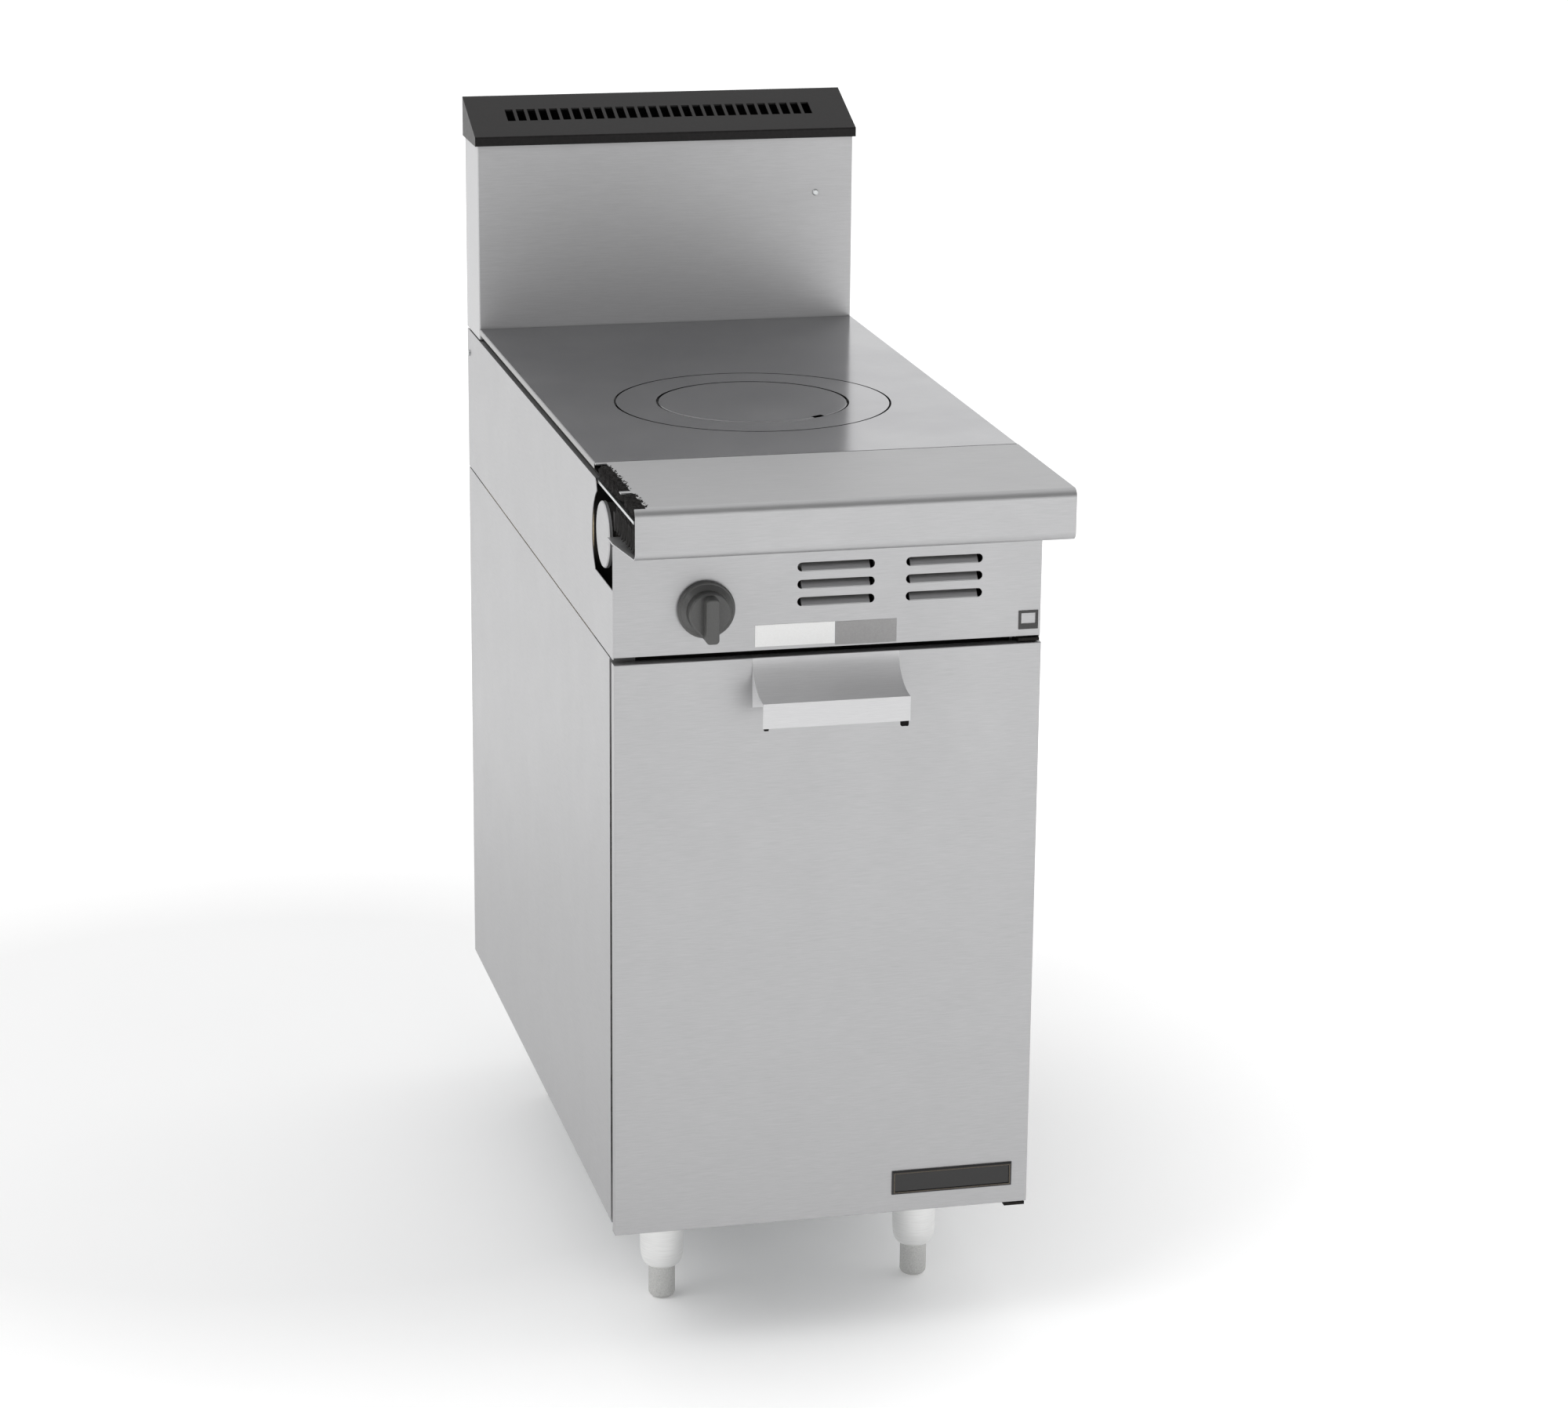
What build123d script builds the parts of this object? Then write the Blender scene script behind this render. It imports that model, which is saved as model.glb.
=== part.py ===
from build123d import *
import os

os.makedirs("parts", exist_ok=True)

# A 17 in (432 mm) wide add-on section of a heavy-duty gas cooking range: one hot plate with a
# lift-out ring and lid over a ring burner, a storage cabinet below it and a flue riser behind.
# Millimetres. +Z is up, the front faces -Y, and the origin is on the floor under the middle of
# the outer box.

# ---- driving dimensions -----------------------------------------------------------------
WIDTH = 432.0            # outside of the two side panels
DEPTH = 965.0            # front rail to back
COOK_Z = 914.0           # cooking surface above the floor
CAP_TOP_Z = 1165.0       # back edge of the flue cap
SHEET = 1.2              # stainless sheet
CLEAR = 0.3              # free gap between neighbouring sheets

HALF = WIDTH / 2
INSIDE = HALF - SHEET                # inner face of a side panel
Y_RAIL = -DEPTH / 2                  # front of the front rail
Y_BACK = DEPTH / 2
Y_DOOR = Y_RAIL + 104.0              # front of the door
Y_PANEL = Y_DOOR + 5.0               # front of the valve panel
Y_CABINET = Y_DOOR + 24.0            # front flanges of the cabinet
Y_PLATE = Y_DOOR + 97.0              # front edge of the hot plate
Y_RISER = Y_BACK - 83.0              # front of the flue riser
Y_REAR_SHEET = Y_BACK - SHEET - 0.3  # inner face of the back sheets

# heights
SIDE_BOTTOM = 143.0
DOOR_BOTTOM = 136.0
DOOR_TOP = 734.0
SEAM_Z = 737.0                       # joint of the lower and upper side panels
PANEL_BOTTOM = 740.0
PANEL_TOP = 852.0
SIDE_TOP = 899.5
RISER_TOP = 1124.0
CAP_BOTTOM = 1121.0
BASE_Z = 140.0                       # underside of the base pan
BASE_WALL = 30.0
BOX_FLOOR_Z = 712.0                  # sheet between the storage cabinet and the burner box

# legs
LEG_X = 137.0
LEG_SETBACK = 148.0
LEG_TOP_R = 25.0
LEG_END_R = 15.2
LEG_BOTTOM = 36.0
FOOT_R = 14.0
FOOT_TOP = 72.0
FOOT_TRAVEL = 24.0       # free bore above the foot
LEG_FLANGE = 76.0
LEG_FLANGE_T = 3.0
BOLT_OFFSET = 29.0
BOLT_HOLE_R = 3.6
BOLT_R = 3.5
BOLT_HEAD_R = 6.5

# door
DOOR_RETURN = 13.0
DOOR_DEPTH = 18.0
LINER_INSET = 18.0
HINGE_X = 208.0
HINGE_Y = Y_DOOR + 7.5
PIN_R = 4.0
RUNNING = 0.05            # radial play of turning and sliding fits
HANDLE_X = -4.0
HANDLE_WIDTH = 148.0
HANDLE_REACH = 47.0
HANDLE_TOP = 733.5
HANDLE_FOLD = 700.0
HANDLE_LIP = 675.0
HANDLE_SHEET = 1.5
HANDLE_FLANGE = HANDLE_FOLD - 16.0
HANDLE_SCREW_X = (HANDLE_X - 50.0, HANDLE_X + 50.0)
HANDLE_SCREW_Z = 691.5

# valve panel
KNOB_X = -124.0
KNOB_Z = 785.0
KNOB_R = 28.5
KNOB_BACK = Y_PANEL - 1.5
HUB_R = 21.0
STEM_R = 4.0
LOUVRE_LENGTH = 78.0
LOUVRE_HEIGHT = 9.0
LOUVRE_PITCH = 17.5
LOUVRE_LEFTS = (-32.5, 77.2)
LOUVRE_TOP_Z = 822.0

# gas train
MANIFOLD_Y = Y_DOOR + 66.0
MANIFOLD_Z = 849.0
PIPE_R = 21.1            # 1 1/4 in pipe
PIPE_BORE = 17.5
COLLAR_R = 31.0
END_R = 33.0
TEST_PLUG_X = -200.0
TEST_PLUG_Z = 870.0
TUBE_Y = -318.0
BURNER_Y = Y_DOOR + 343.0
BURNER_Z = KNOB_Z
BELL_Y = -290.0          # front face of the burner's air bell
BELL_R = 30.0
HEAD_R = 85.0
HEAD_HOLE_R = 45.0
HEAD_Z = 768.0
PILOT_X = 62.0
PILOT_Y = BURNER_Y - 84.0
PILOT_LOW_Z = 745.0
FIREBOX_Y = -270.0
TUBE_HOLE_R = 24.0       # way through the firebox for the mixing tube

# hot plate
RING_R = 145.0
LID_R = 101.0
RING_GAP = 2.2
LEDGE = 10.0
PLATE_EDGE = 12.0
PLATE_LIP = 6.0          # thickness of the plate's border over the sides
PLATE_BORDER = 12.0
RING_THICK = 10.0
LIFT_NOTCH_ANGLE = -59.0
LEDGE_Z = COOK_Z - RING_THICK
LEDGE_BOTTOM = LEDGE_Z - 8.0
LINER_BOARD = 18.0

# front rail and flue cap
RAIL_BOTTOM = 863.0
RAIL_TOP_R = 8.0
RAIL_LOWER_R = 9.0
SEAL_RUNS = ((Y_DOOR - 28, Y_DOOR + 90), (Y_DOOR - 99, Y_DOOR - 36))
SEAL_WIDTH = 11.0
RISER_BOTTOM = SIDE_TOP + 2.5
CAP_SIDE = 3.0
CAP_SHEET = 1.5
CAP_LIP = 10.0
SLOT_PITCH = 12.7
SLOT_COUNT = 28


# ---- small helpers ----------------------------------------------------------------------
def block(x0, x1, y0, y1, z0, z1):
    """A box between two values on each axis."""
    centre = Pos((x0 + x1) / 2, (y0 + y1) / 2, (z0 + z1) / 2)
    return centre * Box(abs(x1 - x0), abs(y1 - y0), abs(z1 - z0))


def rod_x(radius, x0, x1, y, z):
    """A round bar along X."""
    return Pos((x0 + x1) / 2, y, z) * Rot(0, 90, 0) * Cylinder(radius, abs(x1 - x0))


def rod_y(radius, y0, y1, x, z):
    """A round bar along Y."""
    return Pos(x, (y0 + y1) / 2, z) * Rot(90, 0, 0) * Cylinder(radius, abs(y1 - y0))


def rod_z(radius, z0, z1, x, y):
    """A round bar along Z."""
    return Pos(x, y, (z0 + z1) / 2) * Cylinder(radius, abs(z1 - z0))


def extrude_x(outline, x0, x1):
    """A flat outline drawn as (Y, Z), drawn out along X."""
    face = Plane.YZ * make_face(outline)
    return Pos(x0, 0, 0) * extrude(face, x1 - x0, dir=(1, 0, 0))


def turned(outline, x, y):
    """An outline drawn as (radius, height), turned about a vertical axis at x, y."""
    return Pos(x, y, 0) * revolve(Plane.XZ * make_face(outline), Axis.Z)


def save(name, *solids):
    """Writes one sub-part. Several separate pieces of it stay separate solids."""
    shape = solids[0] if len(solids) == 1 else Compound(children=list(solids))
    export_step(shape, f"parts/{name}.step")


def both_sides(make):
    """The left and right pieces that a function of the side's sign gives."""
    return [make(sign) for sign in (-1, 1)]


# ---- base, legs and feet ----------------------------------------------------------------
LEG_PLACES = {
    "front_left": (-LEG_X, Y_DOOR + LEG_SETBACK),
    "front_right": (LEG_X, Y_DOOR + LEG_SETBACK),
    "rear_left": (-LEG_X, Y_BACK - LEG_SETBACK + 24.0),
    "rear_right": (LEG_X, Y_BACK - LEG_SETBACK + 24.0),
}


def bolt_places(x, y):
    """The four bolt centres of one leg flange."""
    signs = (-1, 1)
    return [(x + a * BOLT_OFFSET, y + b * BOLT_OFFSET) for a in signs for b in signs]


ALL_BOLTS = [place for xy in LEG_PLACES.values() for place in bolt_places(*xy)]


def base_pan():
    """Open tray that the legs bolt to."""
    x = INSIDE - CLEAR
    y0 = Y_CABINET + SHEET + CLEAR
    y1 = Y_REAR_SHEET - CLEAR
    wall = 1.5
    pan = block(-x, x, y0, y1, BASE_Z, BASE_Z + BASE_WALL)
    pan -= block(-x + wall, x - wall, y0 + wall, y1 - wall, BASE_Z + wall, BASE_Z + 40)
    for bx, by in ALL_BOLTS:
        pan -= rod_z(BOLT_HOLE_R, BASE_Z - 1, BASE_Z + 5, bx, by)
    return pan


def leg(x, y):
    """Tapered leg with a rounded lower end and a square top flange, bored for its foot."""
    flange_z = BASE_Z - LEG_FLANGE_T
    shoulder = (LEG_TOP_R - 2.4, LEG_BOTTOM + 17)
    with BuildSketch() as section:
        with BuildLine():
            Line((0, LEG_BOTTOM), (LEG_END_R, LEG_BOTTOM))
            Spline(
                (LEG_END_R, LEG_BOTTOM),
                (LEG_END_R + 5.2, LEG_BOTTOM + 6),
                shoulder,
                tangents=[(1, 0.35), (0.06, 1)],
            )
            Line(shoulder, (LEG_TOP_R, flange_z))
            Line((LEG_TOP_R, flange_z), (0, flange_z))
            Line((0, flange_z), (0, LEG_BOTTOM))
        make_face()
    body = Pos(x, y, 0) * revolve(Plane.XZ * section.sketch, Axis.Z)
    h = LEG_FLANGE / 2
    body += block(x - h, x + h, y - h, y + h, flange_z, BASE_Z)
    body -= rod_z(FOOT_R + RUNNING, LEG_BOTTOM - 1, FOOT_TOP + FOOT_TRAVEL, x, y)
    for bx, by in bolt_places(x, y):
        body -= rod_z(BOLT_HOLE_R, flange_z - 1, BASE_Z + 1, bx, by)
    return body


def foot(x, y):
    """Bullet foot that screws in and out of its leg, flat where it stands."""
    slug = rod_z(FOOT_R, 0, FOOT_TOP, x, y)
    return fillet(slug.edges().group_by(Axis.Z)[0], 6.0)


def leg_bolt(x, y):
    """Hexagon-head bolt and nut through the base pan and a leg flange."""
    washer_top = BASE_Z + 1.5
    shank = rod_z(BOLT_R, BASE_Z - LEG_FLANGE_T - 6, washer_top + 1, x, y)
    head = Pos(x, y, washer_top) * extrude(RegularPolygon(BOLT_HEAD_R, 6), 4.5)
    nut = Pos(x, y, BASE_Z - LEG_FLANGE_T - 5) * extrude(RegularPolygon(BOLT_HEAD_R, 6), 5)
    return shank + head + nut


# ---- cabinet ----------------------------------------------------------------------------
def side_lower(sign):
    """Lower side sheet with a return at its front edge."""
    sheet = block(sign * INSIDE, sign * HALF, Y_CABINET, Y_BACK, SIDE_BOTTOM, SEAM_Z - 0.8)
    lip = block(sign * (HALF - 26), sign * HALF, Y_CABINET, Y_CABINET + SHEET,
                SIDE_BOTTOM, SEAM_Z - 0.8)
    return sheet + lip


def side_upper(sign, outline):
    """Upper side sheet with a flange turned in along its top."""
    sheet = extrude_x(outline, min(sign * INSIDE, sign * HALF), max(sign * INSIDE, sign * HALF))
    flange = block(sign * (HALF - 20), sign * INSIDE, Y_PLATE, Y_BACK - 2,
                   SIDE_TOP - SHEET, SIDE_TOP)
    return sheet + flange


def left_side_outline():
    """The left sheet, scooped out round the end of the manifold."""
    front = Y_PANEL + SHEET + 0.2
    scoop_z = 807.0
    scoop_end = (Y_DOOR + 86, 888.0)
    path = Polyline((Y_DOOR + 93, SIDE_TOP), (Y_BACK, SIDE_TOP), (Y_BACK, SEAM_Z + 0.8),
                    (front, SEAM_Z + 0.8), (front, scoop_z), (Y_DOOR + 96, scoop_z))
    arc = ThreePointArc((Y_DOOR + 96, scoop_z), (Y_DOOR + 111, 846.0), scoop_end)
    return path + arc + Line(scoop_end, (Y_DOOR + 93, SIDE_TOP))


def right_side_outline():
    """The right sheet, stepped down where the rail's closed end stands."""
    front = Y_PANEL + SHEET + 0.2
    step_y = Y_PLATE + 1.0
    step_z = PANEL_TOP - 3.0
    return Polyline((step_y, SIDE_TOP), (Y_BACK, SIDE_TOP), (Y_BACK, SEAM_Z + 0.8),
                    (front, SEAM_Z + 0.8), (front, step_z), (step_y, step_z),
                    (step_y, SIDE_TOP))


def back_panel():
    """Flat rear sheet of the cabinet and burner box."""
    x = INSIDE - CLEAR
    return block(-x, x, Y_REAR_SHEET, Y_REAR_SHEET + SHEET, SIDE_BOTTOM, SIDE_TOP - 1)


def cabinet_floor():
    """Loose floor sheet that lies on the walls of the base pan."""
    z = BASE_Z + BASE_WALL
    return block(-INSIDE + 1, INSIDE - 1, Y_CABINET + 2, Y_REAR_SHEET - 1, z, z + SHEET)


def burner_box_floor():
    """Sheet over the cabinet, with a header behind the door and a shield before the firebox."""
    x = INSIDE - CLEAR
    y0 = Y_CABINET + SHEET + CLEAR
    sheet = block(-x, x, y0, Y_REAR_SHEET - 1, BOX_FLOOR_Z, BOX_FLOOR_Z + SHEET)
    header = block(-x, x, y0, y0 + SHEET, BOX_FLOOR_Z - 14, SEAM_Z + 1)
    y1 = FIREBOX_Y - 1
    shield = block(-x, x, y1 - SHEET, y1, BOX_FLOOR_Z, SIDE_TOP - 9)
    shield -= rod_y(TUBE_HOLE_R, y1 - SHEET - 1, y1 + 1, 0, BURNER_Z)
    shield -= rod_y(5, y1 - SHEET - 1, y1 + 1, PILOT_X, PILOT_LOW_Z)
    return sheet + header + shield


def back_screws():
    """Six screws that hold the back panel."""
    outer = Y_REAR_SHEET + SHEET
    places = [(x, z) for x in (-200.0, 200.0) for z in (180.0, 500.0, 860.0)]
    return [rod_y(3.2, outer, outer + 0.3, x, z) for x, z in places]


def side_screw(sign):
    """Low head of the screw near the top rear corner of an upper side."""
    return rod_x(3.5, sign * HALF, sign * (HALF + 1.6), Y_BACK - 14.0, 873.0)


# ---- door -------------------------------------------------------------------------------
def door_skin():
    """Shallow pan over the whole front of the cabinet, open at the back."""
    y1 = Y_DOOR + DOOR_RETURN
    pan = block(-HALF, HALF, Y_DOOR, y1, DOOR_BOTTOM, DOOR_TOP)
    pan = fillet(pan.edges().group_by(Axis.Y)[0], 0.9)
    t = SHEET
    pan -= block(-HALF + t, HALF - t, Y_DOOR + t, y1 + 1, DOOR_BOTTOM + t, DOOR_TOP - t)
    pan -= rod_z(PIN_R + 0.5, DOOR_BOTTOM - 1, DOOR_BOTTOM + 3, HINGE_X, HINGE_Y)
    pan -= rod_z(PIN_R + 0.5, DOOR_TOP - 3, DOOR_TOP + 1, HINGE_X, HINGE_Y)
    for x in HANDLE_SCREW_X:
        pan -= rod_y(2.1, Y_DOOR - 1, Y_DOOR + 3, x, HANDLE_SCREW_Z)
    return pan


def door_liner():
    """Inner pan, set in from the edges of the skin and open towards it."""
    x = HALF - LINER_INSET
    y0 = Y_DOOR + SHEET
    y1 = Y_DOOR + DOOR_DEPTH
    z0 = DOOR_BOTTOM + LINER_INSET
    z1 = DOOR_TOP - LINER_INSET
    pan = block(-x, x, y0, y1, z0, z1)
    return pan - block(-x + 1, x - 1, y0 - 1, y1 - 1, z0 + 1, z1 - 1)


def hinge_block(z0, z1):
    """Nylon block in a corner of the door, bored for the hinge pin."""
    body = block(HINGE_X - 8, HALF - SHEET, Y_DOOR + SHEET, Y_DOOR + DOOR_RETURN, z0, z1)
    return body - rod_z(PIN_R + RUNNING, z0 - 1, z1 + 1, HINGE_X, HINGE_Y)


def hinge_bracket(plate_z, tab_z0, tab_z1, pin_z0, pin_z1):
    """Angle bracket on the cabinet's front, with its pin pointing into the door."""
    x0, x1 = 193.0, INSIDE - CLEAR
    y0 = Y_DOOR + 2.0
    plate = block(x0, x1, y0, Y_CABINET - 0.1, plate_z, plate_z + 3)
    tab = block(x0, x1, Y_CABINET - 2.1, Y_CABINET - 0.1, tab_z0, tab_z1)
    return plate + tab + rod_z(PIN_R, pin_z0, pin_z1, HINGE_X, HINGE_Y)


def handle_outline():
    """Folded sheet: a flange on the door, a hollow sweep forward and a lip turned down."""
    t = HANDLE_SHEET
    front = Y_DOOR - HANDLE_REACH
    rise = HANDLE_TOP - HANDLE_FOLD
    centre = (front, HANDLE_TOP)
    with BuildSketch() as section:
        with BuildLine():
            EllipticalCenterArc(centre, HANDLE_REACH, rise, start_angle=-90, arc_size=90)
            Line((Y_DOOR, HANDLE_TOP), (Y_DOOR, HANDLE_FLANGE))
            Line((Y_DOOR, HANDLE_FLANGE), (Y_DOOR - t, HANDLE_FLANGE))
            Line((Y_DOOR - t, HANDLE_FLANGE), (Y_DOOR - t, HANDLE_TOP - 13))
            Spline(
                (Y_DOOR - t, HANDLE_TOP - 13),
                (Y_DOOR - 16, HANDLE_TOP - 27.2),
                (front + 10, HANDLE_FOLD - t),
                tangents=[(-0.35, -1), (-1, 0)],
            )
            Line((front + 10, HANDLE_FOLD - t), (front + t, HANDLE_FOLD - t - 1))
            Line((front + t, HANDLE_FOLD - t - 1), (front + t, HANDLE_LIP))
            Line((front + t, HANDLE_LIP), (front, HANDLE_LIP))
            Line((front, HANDLE_LIP), (front, HANDLE_FOLD))
        make_face()
    return section.sketch


def door_handle():
    """Scoop handle as wide as a hand, open at both ends and underneath."""
    face = Plane.YZ * handle_outline()
    body = Pos(HANDLE_X - HANDLE_WIDTH / 2, 0, 0) * extrude(face, HANDLE_WIDTH, dir=(1, 0, 0))
    for x in HANDLE_SCREW_X:
        body -= rod_y(2.1, Y_DOOR - 3, Y_DOOR + 1, x, HANDLE_SCREW_Z)
    return body


def handle_screw(x):
    """Pan-head screw through the handle's flange and the door skin."""
    seat = Y_DOOR - HANDLE_SHEET
    head = fillet(rod_y(4.5, seat - 2.6, seat, x, HANDLE_SCREW_Z).edges().group_by(Axis.Y)[0], 1.4)
    return head + rod_y(2.0, seat, Y_DOOR + 8, x, HANDLE_SCREW_Z)


def door_badge():
    """Blank name plate: a bevelled frame round a sunk field."""
    x0, x1, z0, z1 = 72.0, 199.0, 155.5, 181.0
    plate = block(x0, x1, Y_DOOR - 2.4, Y_DOOR, z0, z1)
    plate = chamfer(plate.edges().group_by(Axis.Y)[0], 1.2)
    rim = 3.0
    return plate - block(x0 + rim, x1 - rim, Y_DOOR - 4, Y_DOOR - 1.4, z0 + rim, z1 - rim)


def magnet_catch():
    """Magnetic catch on the header, at the free edge of the door."""
    y1 = Y_CABINET + SHEET + CLEAR
    y0 = Y_DOOR + DOOR_DEPTH + 1.6 + CLEAR
    return block(-186, -146, y0, y1, 700, 716) - block(-176, -156, y0 - 1, y0 + 1, 704, 712)


def catch_strike():
    """Steel strike on the door liner, facing the magnet."""
    y0 = Y_DOOR + DOOR_DEPTH
    return block(-184, -148, y0, y0 + 1.6, 701, 715)


# ---- valve panel and what is on it --------------------------------------------------------
def louvre(x0, z):
    """The opening of one louvre: a slot with round ends, cut through the panel."""
    middle = x0 + LOUVRE_LENGTH / 2
    slot = SlotOverall(LOUVRE_LENGTH, LOUVRE_HEIGHT)
    face = Plane(origin=(middle, Y_PANEL - 1, z), x_dir=(1, 0, 0), z_dir=(0, 1, 0)) * slot
    return extrude(face, SHEET + 2)


def blade(x0, z):
    """The tongue of a louvre, pushed in and sloping up steeply from the slot's lower edge."""
    length = LOUVRE_LENGTH - LOUVRE_HEIGHT
    foot_z = z - LOUVRE_HEIGHT / 2 - 0.6
    y0 = Y_PANEL + SHEET
    outline = Polyline((y0 - 0.6, foot_z), (y0 + 1, foot_z), (y0 + 6.2, foot_z + 8),
                       (y0 + 5.2, foot_z + 8), (y0 - 0.6, foot_z + 1.2), (y0 - 0.6, foot_z))
    start = x0 + (LOUVRE_LENGTH - length) / 2
    return extrude_x(outline, start, start + length)


def valve_panel():
    """Front sheet with flanges turned back, six louvres and the hole for the valve stem."""
    y1 = Y_PANEL + SHEET
    panel = block(-HALF, HALF, Y_PANEL, y1, PANEL_BOTTOM, PANEL_TOP)
    x = INSIDE - CLEAR
    panel += block(-x, x, Y_PANEL, Y_CABINET, PANEL_BOTTOM, PANEL_BOTTOM + SHEET)
    panel += block(-x, x, Y_PANEL, Y_CABINET + 6, PANEL_TOP - SHEET, PANEL_TOP)
    for x0 in LOUVRE_LEFTS:
        for row in range(3):
            z = LOUVRE_TOP_Z - row * LOUVRE_PITCH
            panel = panel - louvre(x0, z) + blade(x0, z)
    return panel - rod_y(7.0, Y_PANEL - 1, y1 + 1, KNOB_X, KNOB_Z)


def knob():
    """Round knob: a rimmed skirt, a cone, a hub drawn out to a pointer and a grip bar on it."""
    skirt = rod_y(KNOB_R, KNOB_BACK - 5, KNOB_BACK, KNOB_X, KNOB_Z)
    skirt = fillet(skirt.edges().group_by(Axis.Y)[0], 2.0)
    place = Plane(origin=(KNOB_X, KNOB_BACK - 5, KNOB_Z), x_dir=(1, 0, 0), z_dir=(0, -1, 0))
    cone = Pos(KNOB_X, KNOB_BACK - 7, KNOB_Z) * Rot(90, 0, 0) * Cone(KNOB_R - 2.5, HUB_R + 0.5, 4)
    outline = make_hull(Circle(HUB_R).edges() + (Pos(0, -21.5) * Circle(7.2)).edges())
    hub = fillet(extrude(place * outline, 15).edges().group_by(Axis.Y)[0], 1.8)
    grip = block(KNOB_X - 6.5, KNOB_X + 6.5, KNOB_BACK - 33, KNOB_BACK - 12,
                 KNOB_Z - 27.5, KNOB_Z + 18)
    grip = fillet(grip.edges().filter_by(Axis.Y), 4.0)
    grip = fillet(grip.edges().group_by(Axis.Y)[0], 1.8)
    bore = rod_y(STEM_R + 0.02, KNOB_BACK - 17, KNOB_BACK + 1, KNOB_X, KNOB_Z)
    return skirt + cone + hub + grip - bore


def valve_stem():
    """Spindle that turns with the knob in the valve's bore, with a flat for the knob."""
    y0 = Y_PANEL - 18
    stem = rod_y(STEM_R, y0, Y_PANEL + 36, KNOB_X, KNOB_Z)
    return stem - block(KNOB_X - 5, KNOB_X + 5, y0 - 1, y0 + 14, KNOB_Z + 2.6, KNOB_Z + 5)


def label(x0, x1, z0, z1):
    """Blank sticker on the valve panel."""
    return block(x0, x1, Y_PANEL - 0.4, Y_PANEL, z0, z1)


def corner_emblem():
    """Small open square frame near the panel's right edge, with no mark in it."""
    x0, x1, z0, z1 = 193.5, 213.5, 747.0, 766.0
    frame = block(x0, x1, Y_PANEL - 0.8, Y_PANEL, z0, z1)
    return frame - block(x0 + 2.6, x1 - 2.6, Y_PANEL - 2, Y_PANEL + 1, z0 + 5.6, z1 - 2.6)


# ---- gas train --------------------------------------------------------------------------
def manifold_pipe():
    """Gas pipe across the front, behind the rail."""
    pipe = rod_x(PIPE_R, -210, 196, MANIFOLD_Y, MANIFOLD_Z)
    pipe -= rod_x(PIPE_BORE, -211, 197, MANIFOLD_Y, MANIFOLD_Z)
    return pipe - rod_z(9.05, MANIFOLD_Z - 30, MANIFOLD_Z, KNOB_X, MANIFOLD_Y)


def manifold_collar():
    """Cast collar on the pipe's left end, tapped for the test plug."""
    collar = rod_x(COLLAR_R, -210, -178, MANIFOLD_Y, MANIFOLD_Z)
    collar = chamfer(collar.edges().group_by(Axis.X)[-1], 3)
    collar -= rod_x(PIPE_R + RUNNING, -211, -177, MANIFOLD_Y, MANIFOLD_Z)
    return collar - rod_y(7.05, MANIFOLD_Y - 40, MANIFOLD_Y - 19, TEST_PLUG_X, TEST_PLUG_Z)


def test_plug():
    """Square-head plug in the front of the collar."""
    y0 = Y_DOOR + 28
    y1 = y0 + 8
    head = block(TEST_PLUG_X - 9, TEST_PLUG_X + 9, y0, y1, TEST_PLUG_Z - 9.5, TEST_PLUG_Z + 9.5)
    head = chamfer(head.edges().group_by(Axis.Y)[0], 1.0)
    return head + rod_y(7.0, y1, MANIFOLD_Y - 22, TEST_PLUG_X, TEST_PLUG_Z)


def manifold_end():
    """Blanking disc clamped on the collar, where the next section's pipe joins."""
    disc = rod_x(END_R, -214, -210, MANIFOLD_Y, MANIFOLD_Z)
    return chamfer(disc.edges().group_by(Axis.X)[0], 1.0)


def manifold_cap():
    """Pipe cap that closes the right end."""
    cap = rod_x(27, 180, 206, MANIFOLD_Y, MANIFOLD_Z)
    cap = fillet(cap.edges().group_by(Axis.X)[-1], 5)
    return cap - rod_x(PIPE_R + RUNNING, 179, 196, MANIFOLD_Y, MANIFOLD_Z)


def gas_valve():
    """Valve hung under the manifold, with a side outlet for the burner's tube."""
    body = rod_y(13, -360, -302, KNOB_X, KNOB_Z)
    bonnet = rod_y(17, -366, -360, KNOB_X, KNOB_Z)
    neck = rod_z(9, KNOB_Z, MANIFOLD_Z - PIPE_BORE - 1, KNOB_X, MANIFOLD_Y)
    outlet = rod_x(8, KNOB_X, KNOB_X + 22, TUBE_Y, KNOB_Z)
    body = body + bonnet + neck + outlet
    body -= rod_y(STEM_R + RUNNING, -367, Y_PANEL + 37, KNOB_X, KNOB_Z)
    return body - rod_x(5.05, KNOB_X + 14, KNOB_X + 23, TUBE_Y, KNOB_Z)


def supply_tube():
    """Aluminium tube from the valve to the orifice fitting."""
    return rod_x(5, KNOB_X + 14, -8, TUBE_Y, KNOB_Z)


def orifice_fitting():
    """Elbow block with the gas nozzle, aimed into the burner's mixing tube."""
    block_part = block(-11, 11, TUBE_Y - 11, TUBE_Y + 11, BURNER_Z - 11, BURNER_Z + 11)
    block_part = chamfer(block_part.edges().filter_by(Axis.Y), 2)
    block_part -= rod_x(5.05, -12, -8, TUBE_Y, BURNER_Z)
    return block_part + rod_y(6, TUBE_Y + 11, -298, 0, BURNER_Z)


def burner_bell_windows():
    """Four round air windows about the mixing tube's axis."""
    return [(17 * a, 17 * b) for a, b in ((1, 0), (-1, 0), (0, 1), (0, -1))]


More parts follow.
